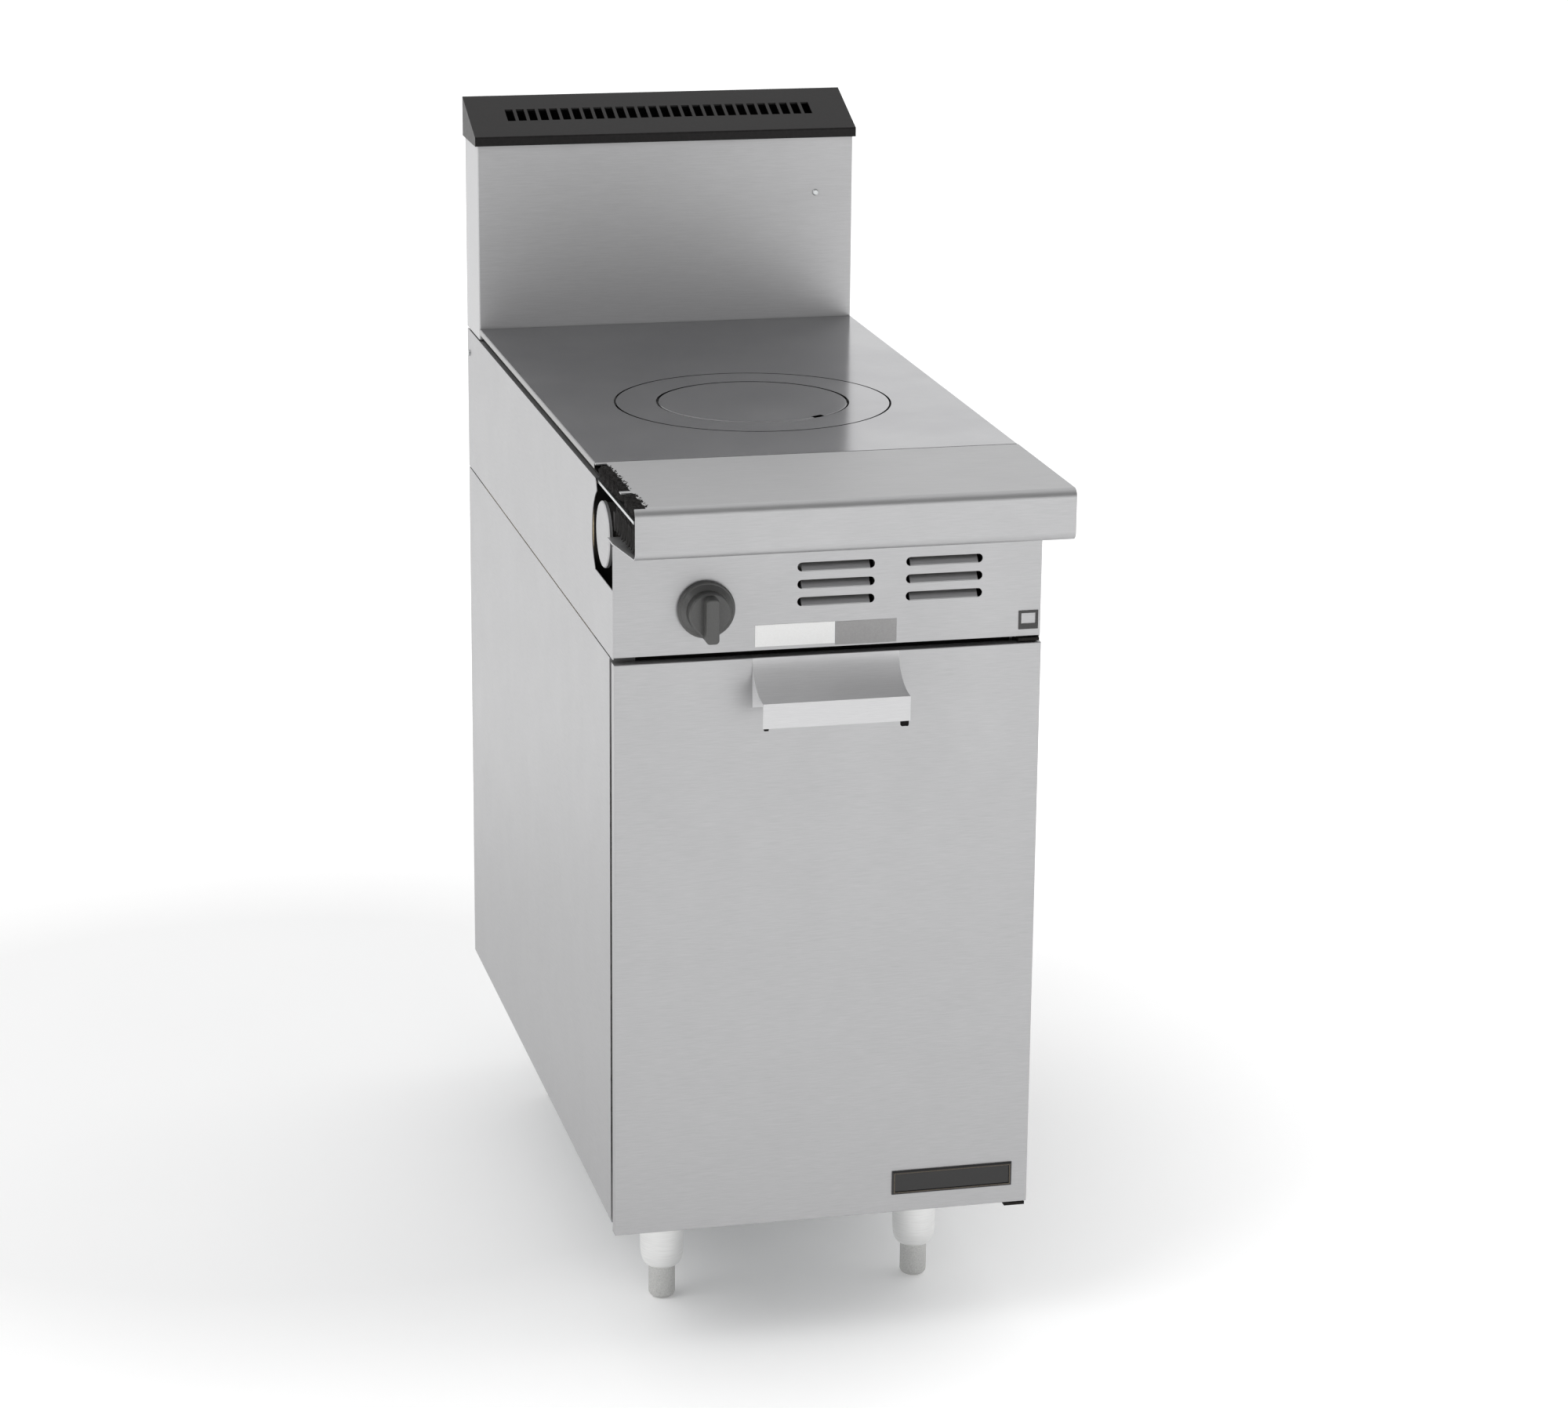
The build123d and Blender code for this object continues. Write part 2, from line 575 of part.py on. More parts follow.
def burner():
    """Cast-iron ring burner: air bell, mixing tube and a hollow head with ports on top."""
    mid_r = (HEAD_R + HEAD_HOLE_R) / 2
    outer = rod_y(BELL_R, BELL_Y, BELL_Y + 6, 0, BURNER_Z)
    tube = Polyline((0, -285), (24, -285), (17, -250), (20, -120), (20, -100), (0, -100), (0, -285))
    inner = Polyline((0, -284), (20, -284), (13, -250), (16, -120), (16, -99), (0, -99), (0, -284))
    place = Pos(0, 0, BURNER_Z)
    head = turned(Polyline((HEAD_HOLE_R, HEAD_Z), (HEAD_R, HEAD_Z), (HEAD_R, 796),
                           (HEAD_R - 8, 802), (HEAD_HOLE_R + 8, 802), (HEAD_HOLE_R, 796),
                           (HEAD_HOLE_R, HEAD_Z)), 0, BURNER_Y)
    body = outer + place * revolve(Plane.XY * make_face(tube), Axis.Y) + head
    body -= place * revolve(Plane.XY * make_face(inner), Axis.Y)
    body -= turned(Polyline((HEAD_HOLE_R + 5, 773), (HEAD_R - 5, 773), (HEAD_R - 5, 794),
                            (HEAD_HOLE_R + 5, 794), (HEAD_HOLE_R + 5, 773)), 0, BURNER_Y)
    body -= rod_y(8, BELL_Y - 1, BELL_Y + 8, 0, BURNER_Z)
    for dx, dz in burner_bell_windows():
        body -= rod_y(6.5, BELL_Y - 1, BELL_Y + 8, dx, BURNER_Z + dz)
    ports = PolarLocations(mid_r, 36)
    for port in ports:
        body -= Pos(0, BURNER_Y, 798) * port * Cylinder(1.6, 12)
    return body


def air_shutter():
    """Disc that turns on the bell's face and covers or clears its air windows."""
    disc = rod_y(BELL_R, BELL_Y - 2.3, BELL_Y - 0.3, 0, BURNER_Z)
    disc -= rod_y(8, BELL_Y - 5, BELL_Y, 0, BURNER_Z)
    for dx, dz in burner_bell_windows():
        disc -= rod_y(6.5, BELL_Y - 5, BELL_Y, dx, BURNER_Z + dz)
    tab = block(26, 40, BELL_Y - 2.3, BELL_Y - 0.3, BURNER_Z - 5, BURNER_Z + 5)
    return disc + tab


def burner_supports():
    """Two folded stands that carry the mixing tube and the head."""
    z0 = BOX_FLOOR_Z + SHEET
    made = []
    for y, top in ((-200.0, BURNER_Z - 20.0), (BURNER_Y + 66.0, HEAD_Z)):
        foot_part = block(-35, 35, y - 12, y + 12, z0, z0 + 2)
        post = block(-22, 22, y - 1.5, y + 1.5, z0 + 2, top)
        made.append(foot_part + post)
    return made


def pilot_burner():
    """Standing pilot with a hooded tip beside the burner head."""
    post = rod_z(5, 758, 800, PILOT_X, PILOT_Y)
    return post + rod_z(7, 800, 806, PILOT_X, PILOT_Y)


def pilot_tube():
    """Small tube from the manifold to the pilot."""
    route = FilletPolyline(
        (PILOT_X, MANIFOLD_Y, MANIFOLD_Z - PIPE_R - 0.2),
        (PILOT_X, MANIFOLD_Y, PILOT_LOW_Z),
        (PILOT_X, PILOT_Y, PILOT_LOW_Z),
        (PILOT_X, PILOT_Y, 757.8),
        radius=10,
    )
    start = Plane(origin=route @ 0, z_dir=route % 0)
    return sweep(start * Circle(2.4), path=route)


def firebox_liner():
    """Insulating board round the burner, with ways in for the tubes and out for the flue."""
    x = INSIDE - CLEAR
    board = LINER_BOARD
    y0, y1 = FIREBOX_Y, Y_RISER - 8
    z0, z1 = BOX_FLOOR_Z + SHEET, SIDE_TOP - SHEET - 6
    liner = block(-x, x, y0, y1, z0, z1)
    liner -= block(-x + board, x - board, y0 + board, y1 - board, z0 - 1, z1 + 1)
    liner -= rod_y(TUBE_HOLE_R, y0 - 1, y0 + board + 1, 0, BURNER_Z)
    liner -= rod_y(5, y0 - 1, y0 + board + 1, PILOT_X, PILOT_LOW_Z)
    return liner - block(-150, 150, y1 - board - 1, y1 + 1, 800, 870)


# ---- front rail -------------------------------------------------------------------------
def rail_outline(inset):
    """Cross-section of the rail as (Y, Z), drawn in by inset on its outer sides."""
    i = inset
    front = Y_RAIL + i
    top = COOK_Z - i
    heel_y, heel_z = Y_PANEL - 1.0, PANEL_TOP + 1.4 + i
    back_top = Y_PLATE - 1.5 + 2 * i
    back_low = Y_CABINET + 6 + 2 * i
    r1, r2 = RAIL_TOP_R - i, RAIL_LOWER_R - i
    slope_start = (front + r2, RAIL_BOTTOM + i)
    lines = Line((back_top, top), (front + r1, top))
    lines += RadiusArc((front + r1, top), (front, top - r1), -r1)
    lines += Line((front, top - r1), (front, RAIL_BOTTOM + i + r2))
    lines += RadiusArc((front, RAIL_BOTTOM + i + r2), slope_start, -r2)
    lines += Line(slope_start, (heel_y, heel_z))
    lines += Line((heel_y, heel_z), (back_low, heel_z))
    lines += Line((back_low, heel_z), (back_top, top))
    return lines


def front_rail():
    """Formed landing ledge, open at the left and closed at the right."""
    rail = extrude_x(rail_outline(0), -HALF, HALF)
    rail -= extrude_x(rail_outline(SHEET), -HALF - 1, HALF - SHEET)
    for y0, y1 in SEAL_RUNS:
        rail -= block(-HALF - 1, -HALF + SEAL_WIDTH, y0, y1, COOK_Z - 15, COOK_Z + 1)
    return rail


def joint_seal(y0, y1):
    """Black strip in the open left edge of the rail, where the next section butts."""
    strip = block(-HALF, -HALF + SEAL_WIDTH - 0.3, y0 + 0.3, y1 - 0.3, 900.5, COOK_Z - 1.5)
    return fillet(strip.edges().group_by(Axis.Z)[-1], 2.5)


def rail_plug():
    """Foam block that stops the open end of the rail in front of the manifold."""
    plug = extrude_x(rail_outline(SHEET + CLEAR), -HALF + 2.5, -HALF + 14.5)
    behind = block(-HALF - 1, HALF, Y_DOOR + 12, Y_PLATE + 5, RAIL_BOTTOM - 30, COOK_Z)
    above = block(-HALF - 1, HALF, Y_RAIL, Y_PLATE + 5, SIDE_TOP - 5, COOK_Z)
    return plug - behind - above


def door_seal():
    """Foam strip on the cabinet's front edge, where the free edge of the door closes."""
    return block(-HALF + 0.3, -HALF + 14, Y_CABINET - 4.5, Y_CABINET, SIDE_BOTTOM + 5, 698.0)


def rail_bracket(sign):
    """Flat bar under the end of the rail, fixed below the side's top flange."""
    x0, x1 = sign * (HALF - 19), sign * (INSIDE - 1)
    return block(x0, x1, Y_DOOR - 86, Y_PLATE + 24, SIDE_TOP - 4.2, SIDE_TOP - SHEET - 0.1)


# ---- hot plate --------------------------------------------------------------------------
def hot_plate():
    """Cast plate with thinner side borders and a stepped round opening with a rim under it."""
    y1 = Y_RISER - 0.5
    slab = block(-HALF, HALF, Y_PLATE, y1, COOK_Z - PLATE_LIP, COOK_Z)
    slab = chamfer(slab.edges().group_by(Axis.Z)[-1], 0.8)
    inner = HALF - PLATE_BORDER
    slab += block(-inner, inner, Y_PLATE, y1, COOK_Z - PLATE_EDGE, COOK_Z - PLATE_LIP)
    slab += rod_z(RING_R + 18, LEDGE_BOTTOM, COOK_Z - 2, 0, BURNER_Y)
    slab -= rod_z(RING_R, LEDGE_Z, COOK_Z + 1, 0, BURNER_Y)
    return slab - rod_z(RING_R - LEDGE, LEDGE_BOTTOM - 1, COOK_Z, 0, BURNER_Y)


def top_ring():
    """Loose ring in the plate's opening, stepped in turn for the lid."""
    r = RING_R - RING_GAP
    well = RING_R - LEDGE - RING_GAP
    outline = Polyline((LID_R - LEDGE, LEDGE_BOTTOM), (well, LEDGE_BOTTOM), (well, LEDGE_Z),
                       (r, LEDGE_Z), (r, COOK_Z), (LID_R, COOK_Z), (LID_R, LEDGE_Z),
                       (LID_R - LEDGE, LEDGE_Z), (LID_R - LEDGE, LEDGE_BOTTOM))
    return turned(outline, 0, BURNER_Y)


def centre_lid():
    """Loose lid in the middle of the ring, with a notch for the lifting key."""
    r = LID_R - RING_GAP
    lid = rod_z(r, LEDGE_Z, COOK_Z, 0, BURNER_Y)
    lid += rod_z(r - LEDGE - 3, LEDGE_Z - 5, LEDGE_Z, 0, BURNER_Y)
    lid = chamfer(lid.edges().group_by(Axis.Z)[-1], 0.6)
    notch = Pos(r, 0, COOK_Z) * Box(11, 14, 9)
    return lid - Pos(0, BURNER_Y, 0) * Rot(0, 0, LIFT_NOTCH_ANGLE) * notch


def plate_bearer(sign):
    """Strip on the side's top flange that carries the edge of the plate."""
    return block(sign * (HALF - 19), sign * (HALF - 5), Y_PLATE, Y_RISER - 1, SIDE_TOP,
                 COOK_Z - PLATE_EDGE)


# ---- flue riser -------------------------------------------------------------------------
def riser_shell():
    """Front and two sides of the flue riser, folded from one sheet."""
    y1 = Y_REAR_SHEET - CLEAR
    shell = block(-HALF, HALF, Y_RISER, y1, RISER_BOTTOM, RISER_TOP)
    shell = fillet(shell.edges().filter_by(Axis.Z).group_by(Axis.Y)[0], 1.5)
    return shell - block(-INSIDE, INSIDE, Y_RISER + SHEET, Y_BACK + 1, 890, RISER_TOP + 1)


def riser_back():
    """Rear sheet of the flue riser."""
    return block(-HALF, HALF, Y_REAR_SHEET, Y_REAR_SHEET + SHEET, RISER_BOTTOM, CAP_BOTTOM - 0.2)


def flue_baffle():
    """Channel-shaped heat shield inside the riser."""
    y0 = Y_RISER + 14
    plate = block(-200, 200, y0, y0 + 1, RISER_BOTTOM, RISER_TOP - 12)
    for x in (-199.5, 199.5):
        plate += block(x - 0.5, x + 0.5, Y_RISER + SHEET, y0, RISER_BOTTOM, RISER_TOP - 12)
    return plate


def riser_button():
    """Plug button in the riser's face."""
    button = rod_y(3.6, Y_RISER - 1.8, Y_RISER, 173.0, 1058.0)
    return fillet(button.edges().group_by(Axis.Y)[0], 1.2)


def cap_outline(inset):
    """Cross-section of the flue cap: a low front lip, a long slope and a tall back."""
    i = inset
    front = Y_RISER - CAP_SIDE
    slope = (CAP_TOP_Z - CAP_BOTTOM - CAP_LIP) / (Y_BACK - front)
    drop = i * (1 + slope)
    return Polyline((front + i, CAP_BOTTOM - i), (front + i, CAP_BOTTOM + CAP_LIP - drop + i * slope),
                    (Y_BACK - i, CAP_TOP_Z - drop), (Y_BACK - i, CAP_BOTTOM - i),
                    (front + i, CAP_BOTTOM - i))


def flue_cap():
    """Enamelled hood over the riser, open below, with a row of slots in its slope."""
    x = HALF + CAP_SIDE
    cap = extrude_x(cap_outline(0), -x, x)
    cap = fillet(cap.edges().filter_by(Axis.X).group_by(Axis.Z)[1], 2.0)
    cap -= extrude_x(cap_outline(CAP_SHEET), -x + CAP_SHEET, x - CAP_SHEET)
    middle = (Y_RISER + Y_BACK) / 2
    first = -SLOT_PITCH * (SLOT_COUNT - 1) / 2
    for n in range(SLOT_COUNT):
        sx = first + n * SLOT_PITCH
        cap -= block(sx - 4.5, sx + 4.5, middle - 12, middle + 12, RISER_TOP + 12, CAP_TOP_Z + 2)
    return cap


# ---- write every sub-part -----------------------------------------------------------------
save("base_pan", base_pan())
for place, (leg_x, leg_y) in LEG_PLACES.items():
    save(f"leg_{place}", leg(leg_x, leg_y))
    save(f"foot_{place}", foot(leg_x, leg_y))
save("leg_bolts", *[leg_bolt(bx, by) for bx, by in ALL_BOLTS])
save("side_lower_left", side_lower(-1))
save("side_lower_right", side_lower(1))
save("side_upper_left", side_upper(-1, left_side_outline()))
save("side_upper_right", side_upper(1, right_side_outline()))
save("back_panel", back_panel())
save("panel_screws", *back_screws(), *both_sides(side_screw))
save("cabinet_floor", cabinet_floor())
save("burner_box_floor", burner_box_floor())
save("door_skin", door_skin())
save("door_liner", door_liner())
save("hinge_blocks", hinge_block(712, DOOR_TOP - SHEET), hinge_block(DOOR_BOTTOM + SHEET, 158))
save("hinge_bracket_top", hinge_bracket(735.4, 700, 738.4, 716, 735.4))
save("hinge_bracket_bottom", hinge_bracket(131.5, 131.5, 166, 134.5, 154))
save("door_handle", door_handle())
save("handle_screws", *[handle_screw(x) for x in HANDLE_SCREW_X])
save("door_badge", door_badge())
save("magnet_catch", magnet_catch())
save("catch_strike", catch_strike())
save("valve_panel", valve_panel())
save("knob", knob())
save("valve_stem", valve_stem())
save("rating_label", label(-74.5, 5.8, 743.5, 765.5))
save("notice_label", label(6.2, 68.4, 741.5, 765.0))
save("corner_emblem", corner_emblem())
save("manifold_pipe", manifold_pipe())
save("manifold_collar", manifold_collar())
save("manifold_end", manifold_end())
save("manifold_cap", manifold_cap())
save("test_plug", test_plug())
save("gas_valve", gas_valve())
save("supply_tube", supply_tube())
save("orifice_fitting", orifice_fitting())
save("burner", burner())
save("air_shutter", air_shutter())
save("burner_supports", *burner_supports())
save("pilot_burner", pilot_burner())
save("pilot_tube", pilot_tube())
save("firebox_liner", firebox_liner())
save("front_rail", front_rail())
save("joint_seal", *[joint_seal(y0, y1) for y0, y1 in SEAL_RUNS], rail_plug(), door_seal())
save("rail_brackets", *both_sides(rail_bracket))
save("plate_bearers", *both_sides(plate_bearer))
save("hot_plate", hot_plate())
save("top_ring", top_ring())
save("centre_lid", centre_lid())
save("riser_shell", riser_shell())
save("riser_back", riser_back())
save("flue_baffle", flue_baffle())
save("riser_button", riser_button())
save("flue_cap", flue_cap())
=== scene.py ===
import math

import bpy
import numpy as np
from mathutils import Matrix, Vector


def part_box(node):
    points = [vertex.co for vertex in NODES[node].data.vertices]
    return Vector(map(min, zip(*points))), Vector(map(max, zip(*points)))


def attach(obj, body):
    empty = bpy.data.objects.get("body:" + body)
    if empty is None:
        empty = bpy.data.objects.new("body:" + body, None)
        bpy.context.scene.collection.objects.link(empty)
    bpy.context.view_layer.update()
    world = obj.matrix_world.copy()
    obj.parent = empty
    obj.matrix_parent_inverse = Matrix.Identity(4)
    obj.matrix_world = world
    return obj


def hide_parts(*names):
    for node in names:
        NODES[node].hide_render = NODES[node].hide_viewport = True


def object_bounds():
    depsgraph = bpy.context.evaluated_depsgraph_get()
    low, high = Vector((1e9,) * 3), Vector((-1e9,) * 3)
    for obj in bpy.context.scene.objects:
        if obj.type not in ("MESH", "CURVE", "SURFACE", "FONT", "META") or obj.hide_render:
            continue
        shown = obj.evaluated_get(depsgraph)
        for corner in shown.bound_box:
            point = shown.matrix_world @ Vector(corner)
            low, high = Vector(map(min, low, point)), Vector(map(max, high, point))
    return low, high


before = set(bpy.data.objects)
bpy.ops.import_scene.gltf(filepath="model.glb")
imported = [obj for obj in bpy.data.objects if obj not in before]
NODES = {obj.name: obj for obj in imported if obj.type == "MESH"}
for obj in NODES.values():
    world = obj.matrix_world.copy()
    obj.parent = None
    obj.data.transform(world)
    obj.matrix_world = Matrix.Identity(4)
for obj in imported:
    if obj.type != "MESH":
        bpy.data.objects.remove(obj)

cad_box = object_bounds()
MM = 0.001


# ---- camera, floor and light --------------------------------------------------------------
CAMERA_AT = Vector((-0.983, -4.2575, 1.850))
CAMERA_TURN = math.radians(-13.58)
CAMERA_DOWN = math.radians(16.27)
CAMERA_ROLL = math.radians(0.54)
CAMERA_LENS = 97.2                # mm
SENSOR_WIDTH = 36.0               # mm


def make_camera():
    """A long lens above and to the left of the front, tilted down, with no shift."""
    data = bpy.data.cameras.new("camera")
    data.sensor_width = SENSOR_WIDTH
    data.lens = CAMERA_LENS
    camera = bpy.data.objects.new("camera", data)
    bpy.context.scene.collection.objects.link(camera)
    turn = Matrix.Rotation(CAMERA_TURN, 4, "Z")
    tilt = Matrix.Rotation(math.pi / 2 - CAMERA_DOWN, 4, "X")
    roll = Matrix.Rotation(CAMERA_ROLL, 4, "Z")
    camera.matrix_world = Matrix.Translation(CAMERA_AT) @ turn @ tilt @ roll
    bpy.context.scene.camera = camera


def add_area_light(name, place, aim, size, watts):
    """A soft square white lamp at one place, aimed at another."""
    data = bpy.data.lights.new(name, "AREA")
    data.shape = "SQUARE"
    data.size = size
    data.energy = watts
    lamp = bpy.data.objects.new(name, data)
    bpy.context.scene.collection.objects.link(lamp)
    direction = Vector(aim) - Vector(place)
    turn = direction.to_track_quat("-Z", "Y").to_matrix().to_4x4()
    lamp.matrix_world = Matrix.Translation(place) @ turn


FLOOR_HALF = 30.0                 # metres, so wide that its edge stays out of sight


def make_floor():
    """A wide pale floor that isn't part of the object."""
    half = FLOOR_HALF
    mesh = bpy.data.meshes.new("floor")
    corners = [(-half, -half, 0), (half, -half, 0), (half, half, 0), (-half, half, 0)]
    mesh.from_pydata(corners, [], [(0, 1, 2, 3)])
    floor = bpy.data.objects.new("floor", mesh)
    bpy.context.scene.collection.objects.link(floor)
    floor.data.materials.append(floor_paint())


DARK_SIDE = (0.0, -0.94, 0.34)    # the way to the darkest part of the surroundings
SKY_STRENGTH = 1.05

# name, place and aim in metres, width in metres, and watts
LAMPS = (
    ("key", (-2.6, -1.2, 3.4), (0, 0, 0.6), 2.4, 45),
    ("fill", (1.0, -3.0, 0.4), (0, -0.3, 0.1), 1.6, 8),
)


def make_light():
    """White surroundings that fall to grey in front, with two large soft lamps. The grey follows
    the cosine of the angle to the dark side, so the plate and the riser mirror something dark."""
    world = bpy.data.worlds.new("studio")
    bpy.context.scene.world = world
    world.use_nodes = True
    tree = world.node_tree
    background = tree.nodes["Background"]
    way = add(tree, "ShaderNodeTexCoord")
    toward = add(tree, "ShaderNodeVectorMath", {0: way.outputs["Generated"], 1: DARK_SIDE},
                 operation="DOT_PRODUCT")
    sky = ramp(tree, toward.outputs["Value"], [(0.30, "#ffffff"), (0.75, "#a4a4a4"),
                                               (1.0, "#848484")])
    tree.links.new(sky.outputs["Color"], background.inputs["Color"])
    background.inputs["Strength"].default_value = SKY_STRENGTH
    for name, place, aim, size, watts in LAMPS:
        add_area_light(name, place, aim, size, watts)


# ---- colours and shader nodes ---------------------------------------------------------------
def colour(text):
    """An sRGB hex colour as linear RGBA."""
    parts = [int(text[i:i + 2], 16) / 255 for i in (1, 3, 5)]
    linear = [p / 12.92 if p <= 0.04045 else ((p + 0.055) / 1.055) ** 2.4 for p in parts]
    return (*linear, 1.0)


def add(tree, kind, inputs=None, **settings):
    """Adds one shader node. Each input is a number, a colour or another node's output."""
    made = tree.nodes.new(kind)
    for name, value in settings.items():
        setattr(made, name, value)
    for socket, value in (inputs or {}).items():
        if isinstance(value, bpy.types.NodeSocket):
            tree.links.new(value, made.inputs[socket])
        else:
            made.inputs[socket].default_value = value
    return made


def start(name, metallic=0.0, rough=0.5, ior=1.5):
    """A new material with one Principled shader. Returns the material, its tree and shader."""
    material = bpy.data.materials.new(name)
    material.use_nodes = True
    tree = material.node_tree
    shader = tree.nodes["Principled BSDF"]
    shader.inputs["Metallic"].default_value = metallic
    shader.inputs["Roughness"].default_value = rough
    shader.inputs["IOR"].default_value = ior
    return material, tree, shader


def grain_place(tree, scale):
    """Object coordinates, stretched by a scale on each axis, in patterns per metre."""
    where = add(tree, "ShaderNodeTexCoord")
    return add(tree, "ShaderNodeMapping", {"Vector": where.outputs["Object"], "Scale": scale})


def ramp(tree, factor, stops):
    """A colour ramp from (position, hex colour) pairs."""
    made = add(tree, "ShaderNodeValToRGB", {"Fac": factor})
    while len(made.color_ramp.elements) < len(stops):
        made.color_ramp.elements.new(0.5)
    for element, (position, text) in zip(made.color_ramp.elements, stops):
        element.position = position
        element.color = colour(text)
    return made


def shade(tree, shader, pattern, low, high, socket="Roughness"):
    """Runs a 0 to 1 pattern into a shader socket between two values."""
    spread = add(tree, "ShaderNodeMapRange", {"Value": pattern, "To Min": low, "To Max": high})
    tree.links.new(spread.outputs["Result"], shader.inputs[socket])


def bump(tree, shader, pattern, depth_mm, strength=1.0):
    """Raises the surface by a pattern, up to a real depth."""
    made = add(tree, "ShaderNodeBump", {"Height": pattern, "Distance": depth_mm * MM,
                                        "Strength": strength})
    tree.links.new(made.outputs["Normal"], shader.inputs["Normal"])


# ---- materials --------------------------------------------------------------------------------
SHADE_MIDDLE = (-0.45, 0.45, 0.0)  # metres, where the floor gives off least light of its own
SHADE_FROM, SHADE_TO = 0.6, 1.4    # metres from there, between which that light rises
GLOW_NEAR, GLOW_FAR = 0.03, 0.42   # its strength before and after


def floor_paint():
    """Matt white paper sweep with a painted glow: it gives off some light of its own, more of it
    further away, so the far floor is plain white and the near floor keeps the object's soft
    shadow."""
    material, tree, shader = start("paper_sweep_painted_glow", rough=0.9)
    where = grain_place(tree, (2.0, 2.0, 2.0))
    cloud = add(tree, "ShaderNodeTexNoise", {"Vector": where.outputs["Vector"], "Scale": 1.0})
    tint = ramp(tree, cloud.outputs["Fac"], [(0.3, "#f4f4f4"), (0.7, "#f6f6f6")])
    tree.links.new(tint.outputs["Color"], shader.inputs["Base Color"])
    place = add(tree, "ShaderNodeTexCoord")
    away = add(tree, "ShaderNodeVectorMath", {0: place.outputs["Object"], 1: SHADE_MIDDLE},
               operation="DISTANCE")
    glow = add(tree, "ShaderNodeMapRange", {"Value": away.outputs["Value"],
                                            "From Min": SHADE_FROM, "From Max": SHADE_TO,
                                            "To Min": GLOW_NEAR, "To Max": GLOW_FAR})
    # painted glow: the floor emits white light, weakest near SHADE_MIDDLE and strongest far away
    shader.inputs["Emission Color"].default_value = colour("#ffffff")
    tree.links.new(glow.outputs["Result"], shader.inputs["Emission Strength"])
    return material


GRAIN_PITCH = 0.8    # mm between brush lines, drawn about five times as coarse as the real ones
GRAIN_LENGTH = 22.0  # mm


def brushed_stainless(name, along, low="#a6a6a7", high="#b0b0b1", rough=(0.38, 0.46),
                      metallic=0.85):
    """No. 4 finish stainless sheet: a soft even sheen, with fine short lines that run one way.
    Faint hand marks about 60 mm across change its gloss. It isn't wholly metallic, which keeps it
    grey and not black where it has nothing bright to mirror."""
    material, tree, shader = start(name, metallic=metallic)
    fine, slow = 1 / (GRAIN_PITCH * MM), 1 / (GRAIN_LENGTH * MM)
    scale = [fine, fine, fine]
    scale["XYZ".index(along)] = slow
    where = grain_place(tree, scale)
    lines = add(tree, "ShaderNodeTexNoise", {"Vector": where.outputs["Vector"], "Scale": 1.0,
                                             "Detail": 4.0, "Roughness": 0.7})
    cloud_place = grain_place(tree, (16.0, 16.0, 16.0))
    cloud = add(tree, "ShaderNodeTexNoise", {"Vector": cloud_place.outputs["Vector"],
                                             "Scale": 1.0, "Detail": 3.0})
    tint = ramp(tree, lines.outputs["Fac"], [(0.30, low), (0.70, high)])
    tree.links.new(tint.outputs["Color"], shader.inputs["Base Color"])
    shade(tree, shader, cloud.outputs["Fac"], rough[0], rough[1])
    bump(tree, shader, lines.outputs["Fac"], 0.01, 0.35)
    return material


def galvanised_sheet():
    """Hot-dip zinc on steel: dull grey with faint crystal flakes about 12 mm across. Like the
    stainless sheet it isn't wholly metallic, so it stays grey inside the cabinet."""
    material, tree, shader = start("galvanised_sheet", metallic=0.7)
    where = grain_place(tree, (80.0, 80.0, 80.0))
    flakes = add(tree, "ShaderNodeTexVoronoi", {"Vector": where.outputs["Vector"], "Scale": 1.0},
                 feature="F1")
    grey = add(tree, "ShaderNodeRGBToBW", {"Color": flakes.outputs["Color"]})
    tint = ramp(tree, grey.outputs["Val"], [(0.2, "#8d9092"), (0.8, "#a3a6a8")])
    tree.links.new(tint.outputs["Color"], shader.inputs["Base Color"])
    shade(tree, shader, grey.outputs["Val"], 0.42, 0.58)
    return material


def zinc_plate():
    """Bright zinc-plated fittings: cool grey, slightly cloudy."""
    material, tree, shader = start("zinc_plate", metallic=1.0)
    where = grain_place(tree, (300.0, 300.0, 300.0))
    cloud = add(tree, "ShaderNodeTexNoise", {"Vector": where.outputs["Vector"], "Scale": 1.0,
                                             "Detail": 3.0})
    tint = ramp(tree, cloud.outputs["Fac"], [(0.3, "#b2b4b5"), (0.7, "#c9cbcb")])
    tree.links.new(tint.outputs["Color"], shader.inputs["Base Color"])
    shade(tree, shader, cloud.outputs["Fac"], 0.28, 0.42)
    return material


